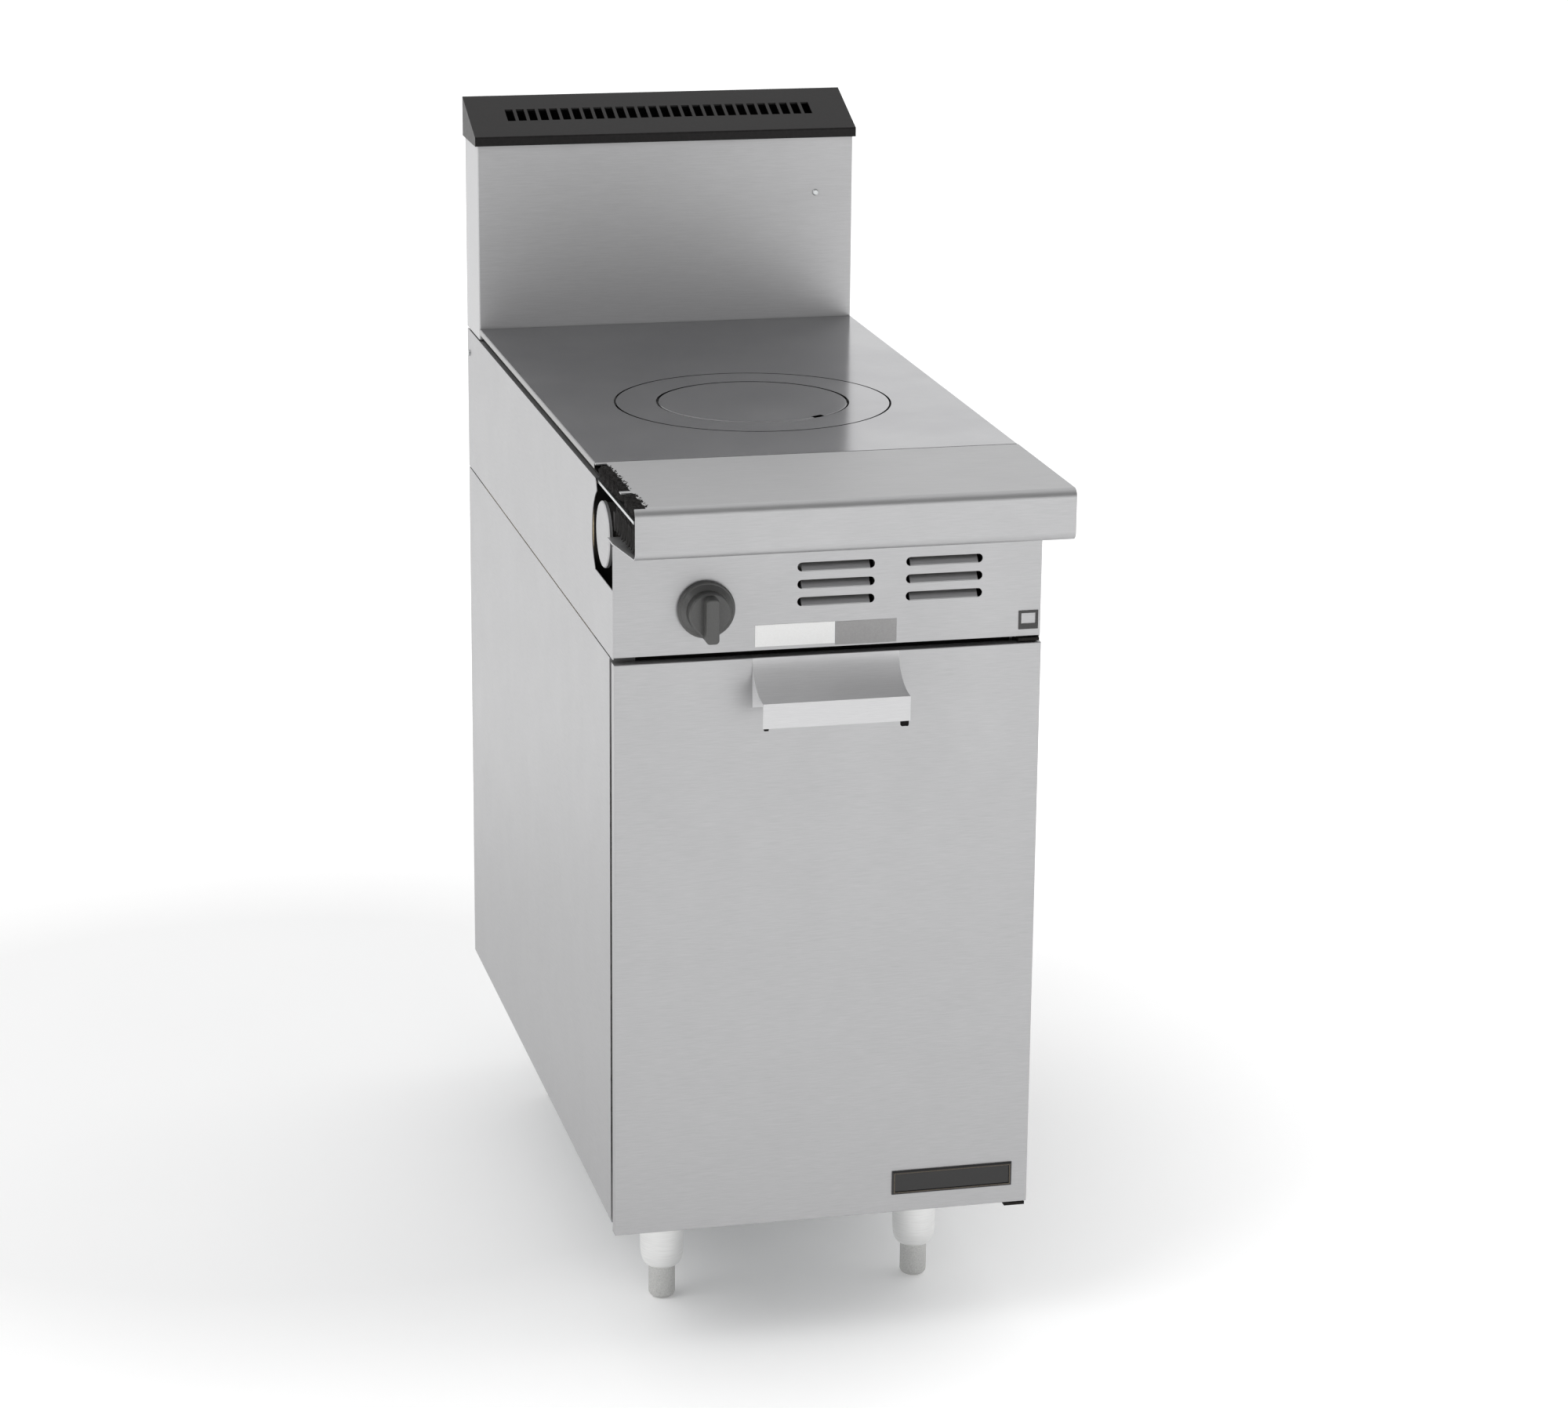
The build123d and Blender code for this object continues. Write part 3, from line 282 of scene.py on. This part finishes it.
def machined_cast_iron():
    """Milled and seasoned cast iron: grey, softly mirroring, with cloudy heat stains about
    150 mm across and milling lines 1 mm apart. Faces that don't point up keep the dark skin of
    the casting."""
    material, tree, shader = start("machined_cast_iron", metallic=1.0)
    lines_place = grain_place(tree, (1 / (40 * MM), 1 / (1.0 * MM), 1 / (1.0 * MM)))
    lines = add(tree, "ShaderNodeTexNoise", {"Vector": lines_place.outputs["Vector"],
                                             "Scale": 1.0, "Detail": 3.0})
    cloud_place = grain_place(tree, (7.0, 7.0, 7.0))
    cloud = add(tree, "ShaderNodeTexNoise", {"Vector": cloud_place.outputs["Vector"],
                                             "Scale": 1.0, "Detail": 4.0, "Roughness": 0.55})
    stain = ramp(tree, cloud.outputs["Fac"], [(0.32, "#909093"), (0.68, "#a2a2a4")])
    facing = add(tree, "ShaderNodeTexCoord")
    upward = add(tree, "ShaderNodeSeparateXYZ", {"Vector": facing.outputs["Normal"]})
    milled = add(tree, "ShaderNodeMapRange", {"Value": upward.outputs["Z"], "From Min": 0.6,
                                              "From Max": 0.8})
    skin_or_top = add(tree, "ShaderNodeMix", {"Factor": milled.outputs["Result"],
                                              "A": colour("#4c4b4a"),
                                              "B": stain.outputs["Color"]}, data_type="RGBA")
    tree.links.new(skin_or_top.outputs["Result"], shader.inputs["Base Color"])
    both = add(tree, "ShaderNodeMath", {0: lines.outputs["Fac"], 1: cloud.outputs["Fac"]},
               operation="ADD")
    half = add(tree, "ShaderNodeMath", {0: both.outputs["Value"], 1: 0.5}, operation="MULTIPLY")
    shade(tree, shader, half.outputs["Value"], 0.08, 0.22)
    bump(tree, shader, lines.outputs["Fac"], 0.01, 0.4)
    return material


def sand_cast_iron(name, low, high):
    """Rough sand casting or mill-scale pipe: dark, matt, with a grit of about 1 mm."""
    material, tree, shader = start(name, metallic=0.7)
    where = grain_place(tree, (900.0, 900.0, 900.0))
    grit = add(tree, "ShaderNodeTexNoise", {"Vector": where.outputs["Vector"], "Scale": 1.0,
                                            "Detail": 4.0, "Roughness": 0.65})
    tint = ramp(tree, grit.outputs["Fac"], [(0.3, low), (0.7, high)])
    tree.links.new(tint.outputs["Color"], shader.inputs["Base Color"])
    shade(tree, shader, grit.outputs["Fac"], 0.55, 0.75)
    bump(tree, shader, grit.outputs["Fac"], 0.25, 0.6)
    return material


def black_enamel():
    """Vitreous enamel on steel: deep black, half gloss, with a slight orange-peel."""
    material, tree, shader = start("black_enamel")
    where = grain_place(tree, (220.0, 220.0, 220.0))
    peel = add(tree, "ShaderNodeTexNoise", {"Vector": where.outputs["Vector"], "Scale": 1.0,
                                            "Detail": 3.0})
    tint = ramp(tree, peel.outputs["Fac"], [(0.3, "#171616"), (0.7, "#201e1e")])
    tree.links.new(tint.outputs["Color"], shader.inputs["Base Color"])
    shade(tree, shader, peel.outputs["Fac"], 0.30, 0.45)
    bump(tree, shader, peel.outputs["Fac"], 0.06, 0.4)
    shader.inputs["Specular IOR Level"].default_value = 0.16
    return material


def blackened_steel():
    """Heat-blackened steel sheet: matt, nearly black, with a brown cast in the clouds."""
    material, tree, shader = start("blackened_steel", metallic=0.2)
    where = grain_place(tree, (60.0, 60.0, 60.0))
    cloud = add(tree, "ShaderNodeTexNoise", {"Vector": where.outputs["Vector"], "Scale": 1.0,
                                             "Detail": 5.0, "Roughness": 0.65})
    tint = ramp(tree, cloud.outputs["Fac"], [(0.3, "#161515"), (0.7, "#262321")])
    tree.links.new(tint.outputs["Color"], shader.inputs["Base Color"])
    shade(tree, shader, cloud.outputs["Fac"], 0.6, 0.8)
    shader.inputs["Specular IOR Level"].default_value = 0.2
    return material


def satin_nickel():
    """Nickel-plated turned leg: bright and slightly warm, with faint turning marks 0.8 mm apart,
    coarser than the real ones. It isn't wholly metallic, which keeps it light over the floor."""
    material, tree, shader = start("satin_nickel", metallic=0.6)
    where = grain_place(tree, (40.0, 40.0, 1 / (0.8 * MM)))
    marks = add(tree, "ShaderNodeTexNoise", {"Vector": where.outputs["Vector"], "Scale": 1.0,
                                             "Detail": 2.0})
    tint = ramp(tree, marks.outputs["Fac"], [(0.3, "#e9e9e8"), (0.7, "#f4f4f3")])
    tree.links.new(tint.outputs["Color"], shader.inputs["Base Color"])
    shade(tree, shader, marks.outputs["Fac"], 0.30, 0.40)
    return material


def foot_zinc():
    """Die-cast zinc foot: mid grey, matt, with shallow casting grain."""
    material, tree, shader = start("foot_zinc", metallic=0.7)
    where = grain_place(tree, (700.0, 700.0, 700.0))
    grain = add(tree, "ShaderNodeTexNoise", {"Vector": where.outputs["Vector"], "Scale": 1.0,
                                             "Detail": 3.0})
    tint = ramp(tree, grain.outputs["Fac"], [(0.3, "#bcbcba"), (0.7, "#d2d2d0")])
    tree.links.new(tint.outputs["Color"], shader.inputs["Base Color"])
    shade(tree, shader, grain.outputs["Fac"], 0.4, 0.55)
    bump(tree, shader, grain.outputs["Fac"], 0.06, 0.4)
    return material


def moulded_plastic(name, low, high, rough, grain_mm=0.7):
    """Moulded plastic: even colour, soft sheen, with a fine spark-eroded texture."""
    material, tree, shader = start(name)
    pitch = 1 / (grain_mm * MM)
    where = grain_place(tree, (pitch, pitch, pitch))
    grain = add(tree, "ShaderNodeTexNoise", {"Vector": where.outputs["Vector"], "Scale": 1.0,
                                             "Detail": 2.0})
    tint = ramp(tree, grain.outputs["Fac"], [(0.3, low), (0.7, high)])
    tree.links.new(tint.outputs["Color"], shader.inputs["Base Color"])
    shade(tree, shader, grain.outputs["Fac"], rough - 0.05, rough + 0.05)
    bump(tree, shader, grain.outputs["Fac"], 0.03, 0.4)
    return material


def machined_brass():
    """Turned brass: warm yellow metal with fine tool marks."""
    material, tree, shader = start("machined_brass", metallic=1.0)
    where = grain_place(tree, (900.0, 200.0, 900.0))
    marks = add(tree, "ShaderNodeTexNoise", {"Vector": where.outputs["Vector"], "Scale": 1.0,
                                             "Detail": 2.0})
    tint = ramp(tree, marks.outputs["Fac"], [(0.3, "#b8954f"), (0.7, "#cdaa62")])
    tree.links.new(tint.outputs["Color"], shader.inputs["Base Color"])
    shade(tree, shader, marks.outputs["Fac"], 0.25, 0.4)
    return material


def drawn_aluminium():
    """Soft aluminium tube: pale, with drawing lines along it."""
    material, tree, shader = start("drawn_aluminium", metallic=1.0)
    where = grain_place(tree, (30.0, 900.0, 900.0))
    marks = add(tree, "ShaderNodeTexNoise", {"Vector": where.outputs["Vector"], "Scale": 1.0})
    tint = ramp(tree, marks.outputs["Fac"], [(0.3, "#c4c6c8"), (0.7, "#d6d8da")])
    tree.links.new(tint.outputs["Color"], shader.inputs["Base Color"])
    shade(tree, shader, marks.outputs["Fac"], 0.3, 0.45)
    return material


def firebrick():
    """Pressed insulating firebrick: buff, chalky, full of pores of 1 to 3 mm."""
    material, tree, shader = start("firebrick", rough=0.95)
    where = grain_place(tree, (500.0, 500.0, 500.0))
    pores = add(tree, "ShaderNodeTexNoise", {"Vector": where.outputs["Vector"], "Scale": 1.0,
                                             "Detail": 5.0, "Roughness": 0.7})
    tint = ramp(tree, pores.outputs["Fac"], [(0.35, "#a08a66"), (0.55, "#cdbd9c"),
                                             (0.8, "#d8ccb0")])
    tree.links.new(tint.outputs["Color"], shader.inputs["Base Color"])
    bump(tree, shader, pores.outputs["Fac"], 0.8, 0.7)
    return material


def black_foam_and_painted_shade():
    """Closed-cell black foam, also used as painted shade in gaps: matt, with a crumbly skin."""
    material, tree, shader = start("black_foam_and_painted_shade")
    where = grain_place(tree, (450.0, 450.0, 450.0))
    cells = add(tree, "ShaderNodeTexNoise", {"Vector": where.outputs["Vector"], "Scale": 1.0,
                                             "Detail": 4.0, "Roughness": 0.7})
    tint = ramp(tree, cells.outputs["Fac"], [(0.35, "#0b0a0a"), (0.7, "#201e1d")])
    tree.links.new(tint.outputs["Color"], shader.inputs["Base Color"])
    shade(tree, shader, cells.outputs["Fac"], 0.6, 0.85)
    bump(tree, shader, cells.outputs["Fac"], 0.8, 0.8)
    shader.inputs["Specular IOR Level"].default_value = 0.1
    return material


def sticker(name, low, high):
    """Satin printed film: nearly flat colour with a faint fibre."""
    material, tree, shader = start(name, ior=1.45)
    where = grain_place(tree, (600.0, 600.0, 600.0))
    fibre = add(tree, "ShaderNodeTexNoise", {"Vector": where.outputs["Vector"], "Scale": 1.0})
    tint = ramp(tree, fibre.outputs["Fac"], [(0.3, low), (0.7, high)])
    tree.links.new(tint.outputs["Color"], shader.inputs["Base Color"])
    shade(tree, shader, fibre.outputs["Fac"], 0.35, 0.5)
    return material


WELD_DISTANCE = 0.00001           # metres
SHARP_ANGLE = math.radians(35)    # edges sharper than this are broken


def finish_node(name, material, edge_mm):
    """Gives a CAD node its material and, on the side panels, slightly broken edges."""
    piece = NODES[name]
    piece.data.materials.clear()
    piece.data.materials.append(material)
    if edge_mm:
        weld = piece.modifiers.new("weld", "WELD")
        weld.merge_threshold = WELD_DISTANCE
        edges = piece.modifiers.new("edges", "BEVEL")
        edges.width = edge_mm * MM
        edges.segments = 2
        edges.limit_method = "ANGLE"
        edges.angle_limit = SHARP_ANGLE


def finish_cad():
    """Every CAD node gets the finish of the piece that it is."""
    stainless_x = brushed_stainless("brushed_stainless_across", "X")
    stainless_y = brushed_stainless("brushed_stainless_side", "Y")
    # The handle's lighter colour is painted light: a lighter, rougher copy of the door's
    # stainless.
    handle = brushed_stainless("lightened_stainless_handle", "X", "#cececf", "#d8d8d9", (0.52, 0.60),
                               0.35)
    # The riser's lighter colour is painted light: a lighter copy of the sides' stainless with
    # less metal in it.
    riser = brushed_stainless("lightened_stainless_riser", "X", "#b6b6b7", "#c0c0c1", (0.40, 0.48),
                              0.6)
    zinc = galvanised_sheet()
    plated = zinc_plate()
    plate = machined_cast_iron()
    casting = sand_cast_iron("sand_cast_iron", "#2a2928", "#403e3c")
    pipe = sand_cast_iron("black_pipe", "#1b1a1a", "#2d2b2a")
    black = blackened_steel()
    nickel = satin_nickel()
    foot = foot_zinc()
    knob = moulded_plastic("dark_knob_plastic", "#454544", "#50504f", 0.34)
    nylon = moulded_plastic("white_nylon", "#d8d6cc", "#e2e0d8", 0.5)
    gloss = moulded_plastic("black_badge_plastic", "#141313", "#1b1a1a", 0.2)
    brass = machined_brass()
    aluminium = drawn_aluminium()
    # material, broken edge in mm, and the nodes that have them
    groups = [
        (handle, 0.0, ["door_handle"]),
        (riser, 0.0, ["riser_shell"]),
        (stainless_x, 0.0, ["door_skin", "valve_panel", "front_rail", "cabinet_floor"]),
        (stainless_y, 0.4, ["side_lower_left", "side_lower_right", "side_upper_left",
                            "side_upper_right"]),
        (stainless_y, 0.0, ["manifold_end"]),
        (zinc, 0.0, ["base_pan", "back_panel", "riser_back", "flue_baffle", "door_liner",
                     "burner_supports", "magnet_catch"]),
        (black, 0.0, ["hinge_bracket_top", "hinge_bracket_bottom", "plate_bearers",
                      "burner_box_floor"]),
        (plated, 0.0, ["leg_bolts", "panel_screws", "handle_screws", "catch_strike",
                       "rail_brackets", "riser_button", "valve_stem", "air_shutter"]),
        (plate, 0.0, ["hot_plate", "top_ring", "centre_lid"]),
        (casting, 0.0, ["burner", "manifold_collar", "manifold_cap", "pilot_burner"]),
        (pipe, 0.0, ["manifold_pipe", "test_plug"]),
        (black_enamel(), 0.0, ["flue_cap"]),
        (nickel, 0.0, [n for n in NODES if n.startswith("leg_") and n != "leg_bolts"]),
        (foot, 0.0, [n for n in NODES if n.startswith("foot_")]),
        (knob, 0.0, ["knob"]),
        (nylon, 0.0, ["hinge_blocks"]),
        (gloss, 0.0, ["door_badge", "corner_emblem"]),
        (sticker("white_sticker", "#f8f8f7", "#fdfdfc"), 0.0, ["rating_label"]),
        (sticker("grey_sticker", "#9b9a9a", "#a2a1a1"), 0.0, ["notice_label"]),
        (brass, 0.0, ["gas_valve", "orifice_fitting"]),
        (aluminium, 0.0, ["supply_tube", "pilot_tube"]),
        (firebrick(), 0.0, ["firebox_liner"]),
        (black_foam_and_painted_shade(), 0.0, ["joint_seal"]),
    ]
    for material, edge_mm, names in groups:
        for name in names:
            finish_node(name, material, edge_mm)


# ---- pieces worked out as surfaces -------------------------------------------------------------
def skin(name, rings, material, body):
    """Makes a closed smooth mesh from rings of points. Each ring joins the next with four-sided
    faces, and the middle of the first and of the last ring closes the ends with fans."""
    count, around, _ = rings.shape
    row, column = np.meshgrid(np.arange(count - 1), np.arange(around), indexing="ij")
    following = (column + 1) % around
    quads = np.stack([row * around + column, row * around + following,
                      (row + 1) * around + following, (row + 1) * around + column], axis=-1)
    edge = np.arange(around)
    after = (edge + 1) % around
    first, last = count * around, count * around + 1
    end = (count - 1) * around
    fans = np.concatenate([np.stack([np.full(around, first), after, edge], axis=-1),
                           np.stack([np.full(around, last), end + edge, end + after], axis=-1)])
    middles = np.stack([rings[0].mean(axis=0), rings[-1].mean(axis=0)])
    points = np.concatenate([rings.reshape(-1, 3), middles])
    mesh = bpy.data.meshes.new(name)
    mesh.from_pydata(points.tolist(), [], quads.reshape(-1, 4).tolist() + fans.tolist())
    mesh.polygons.foreach_set("use_smooth", np.full(len(mesh.polygons), True))
    piece = bpy.data.objects.new(name, mesh)
    bpy.context.scene.collection.objects.link(piece)
    mesh.materials.append(material)
    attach(piece, body)
    return piece


def lumps(a, b, seed):
    """Smooth bumps from 0 to 1: the mean of three products of sines with mixed periods."""
    waves = (np.sin(5.1 * a + seed) * np.sin(3.3 * b + 2 * seed)
             + np.sin(11.7 * a - seed) * np.sin(7.9 * b + seed)
             + np.sin(23.0 * a + 3 * seed) * np.sin(13.0 * b - seed))
    return 0.5 + waves / 6


BAR_RINGS, BAR_POINTS = 120, 48   # rings along a foam bar, and points round each
BAR_REACH = 0.999                 # how far towards its ends the first and last ring sit
LUMP_LENGTH = 0.02                # metres along a bar for one unit of the lumps' waves


def foam_bar(name, body, low, high, axis, seed, material, depth=0.5, square=0.45):
    """Torn foam bar in a box. Along the bar, u runs from -1 to 1 and the section shrinks at the
    ends as the root of 1 minus u to the tenth. Round it, the section is a rounded square: cosine
    and sine to a small power. Lumps take up to the given depth of the half thickness away."""
    low, high = np.array(low), np.array(high)
    middle, half = (low + high) / 2, (high - low) / 2
    order = {"X": (1, 2, 0), "Y": (2, 0, 1), "Z": (0, 1, 2)}[axis]
    u = np.linspace(-BAR_REACH, BAR_REACH, BAR_RINGS)[:, None]
    v = np.linspace(0, 2 * np.pi, BAR_POINTS + 1)[None, :-1]
    shrink = np.sqrt(1 - u ** 10)
    torn = 1 - depth * lumps(u * half[order[2]] / LUMP_LENGTH, v, seed)
    side = np.sign(np.cos(v)) * np.abs(np.cos(v)) ** square
    rise = np.sign(np.sin(v)) * np.abs(np.sin(v)) ** square
    rings = np.empty((u.size, v.size, 3))
    rings[..., order[0]] = middle[order[0]] + half[order[0]] * shrink * torn * side
    rings[..., order[1]] = middle[order[1]] + half[order[1]] * shrink * torn * rise
    rings[..., order[2]] = middle[order[2]] + half[order[2]] * u
    piece = skin(name, rings, material, body)
    return piece


SIDE_TOP = 0.8995                 # metres, where the two upper strips start
PROUD = 0.0022                    # metres that those strips stand above the plate
LEFT_INSET = 0.003                # metres from the left of the object's box to the bars

# name, X from and to counted from the inset, Y from and to, Z from and to (none is the upper
# strips' own), all in metres, the bar's axis, and its lumps' seed, depth and squareness
# The three rail-end bars are partly a real foam seal and partly painted shade for the dark rail
# end and its gap to the plate; the door strip is only painted shade, a black strip in the
# shadowed gap beside the door.
SEAL_AND_SHADE_BARS = (
    ("seal_and_shade_rear", (0.0, 0.0165), (-0.4085, -0.2875), None, "Y", 1.0, 0.5, 0.45),
    ("seal_and_shade_front", (0.0, 0.0180), (-0.4795, -0.4125), None, "Y", 2.3, 0.5, 0.45),
    ("rail_stop_and_shade", (0.001, 0.0150), (-0.4795, -0.3690), (0.862, SIDE_TOP), "Y", 0.4, 0.45, 0.3),
    ("door_gap_shade_strip", (0.0003, 0.014), (-0.3590, -0.3545), (0.148, 0.698), "Z", 3.1, 0.12, 0.45),
)


def seal_and_shade_bars(material):
    """The black foam in the open end of the rail, partly a real seal and partly painted shade in
    the rail's dark end and its gap to the plate, and a black strip of painted shade in the gap
    beside the door.
    """
    left = cad_box[0][0] + LEFT_INSET
    upper = (SIDE_TOP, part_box("hot_plate")[1][2] + PROUD)
    for name, across, deep, tall, axis, seed, depth, square in SEAL_AND_SHADE_BARS:
        low_z, high_z = tall or upper
        foam_bar(name, "cabinet", (left + across[0], deep[0], low_z),
                             (left + across[1], deep[1], high_z), axis, seed, material, depth,
                             square)
    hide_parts("joint_seal")


NUB_INSET = 0.001                 # metres from the handle's end to a nub
NUB_SUNK = 0.001                  # metres that a nub reaches up into the lip
NUB_LUMPS = 0.25


def lip_nubs(material):
    """Two small black lumps under the ends of the handle's lip, the right one the larger."""
    low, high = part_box("door_handle")
    y, z = low[1], low[2]
    foam_bar("lip_nub_right", "door", (high[0] - 0.0095, y, z - 0.006),
             (high[0] - NUB_INSET, y + 0.0045, z + NUB_SUNK), "X", 0.7, material, NUB_LUMPS)
    foam_bar("lip_nub_left", "door", (low[0] + NUB_INSET, y, z - 0.0025),
             (low[0] + 0.006, y + 0.0035, z + NUB_SUNK), "X", 1.9, material, NUB_LUMPS)


ARC_POINTS = 9                    # points across the half-round section of a frame


def flat_frame(name, low, high, width, rise, material, body):
    """Thin raised frame on the front of a plate. Its section is a half round: going from the
    outer edge to the inner, the height is the sine of the angle. The section is carried round
    the four mitred corners of the rectangle."""
    angle = np.linspace(0, np.pi, ARC_POINTS)[None, :]
    inward = width * (1 - np.cos(angle)) / 2
    out = rise * np.sin(angle)
    corner_x = np.array([low[0], high[0], high[0], low[0]])[:, None]
    corner_z = np.array([low[2], low[2], high[2], high[2]])[:, None]
    step_x = np.array([1, -1, -1, 1])[:, None]
    step_z = np.array([1, 1, -1, -1])[:, None]
    rings = np.stack([corner_x + step_x * inward,
                      np.broadcast_to(low[1] - out, (4, ARC_POINTS)),
                      corner_z + step_z * inward], axis=-1)
    row, column = np.meshgrid(np.arange(4), np.arange(ARC_POINTS), indexing="ij")
    after, following = (row + 1) % 4, (column + 1) % ARC_POINTS
    quads = np.stack([row * ARC_POINTS + column, after * ARC_POINTS + column,
                      after * ARC_POINTS + following, row * ARC_POINTS + following], axis=-1)
    mesh = bpy.data.meshes.new(name)
    mesh.from_pydata(rings.reshape(-1, 3).tolist(), [], quads.reshape(-1, 4).tolist())
    piece = bpy.data.objects.new(name, mesh)
    bpy.context.scene.collection.objects.link(piece)
    mesh.materials.append(material)
    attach(piece, body)
    return piece


def bronze_paint():
    """Dark bronze paint line: brown-black with a low metallic gleam."""
    material, tree, shader = start("bronze_paint", metallic=0.8, rough=0.4)
    where = grain_place(tree, (900.0, 900.0, 900.0))
    fleck = add(tree, "ShaderNodeTexNoise", {"Vector": where.outputs["Vector"], "Scale": 1.0,
                                             "Detail": 2.0})
    tint = ramp(tree, fleck.outputs["Fac"], [(0.3, "#4a443c"), (0.7, "#6a6257")])
    tree.links.new(tint.outputs["Color"], shader.inputs["Base Color"])
    return material


LINE_INSET = 0.0018               # metres from the name plate's edge to the line
LINE_WIDTH, LINE_RISE = 0.0010, 0.0003


def badge_line():
    """The bronze line on the rim of the blank name plate."""
    low, high = (Vector(c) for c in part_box("door_badge"))
    line = flat_frame("badge_line", (low[0] + LINE_INSET, low[1], low[2] + LINE_INSET),
                      (high[0] - LINE_INSET, low[1], high[2] - LINE_INSET), LINE_WIDTH,
                      LINE_RISE, bronze_paint(), "door")


make_camera()
make_light()
make_floor()
finish_cad()
# black foam material, also used as painted shade
foam_and_shade_black = black_foam_and_painted_shade()
seal_and_shade_bars(foam_and_shade_black)
lip_nubs(foam_and_shade_black)
badge_line()
bpy.context.scene.view_settings.view_transform = "Standard"
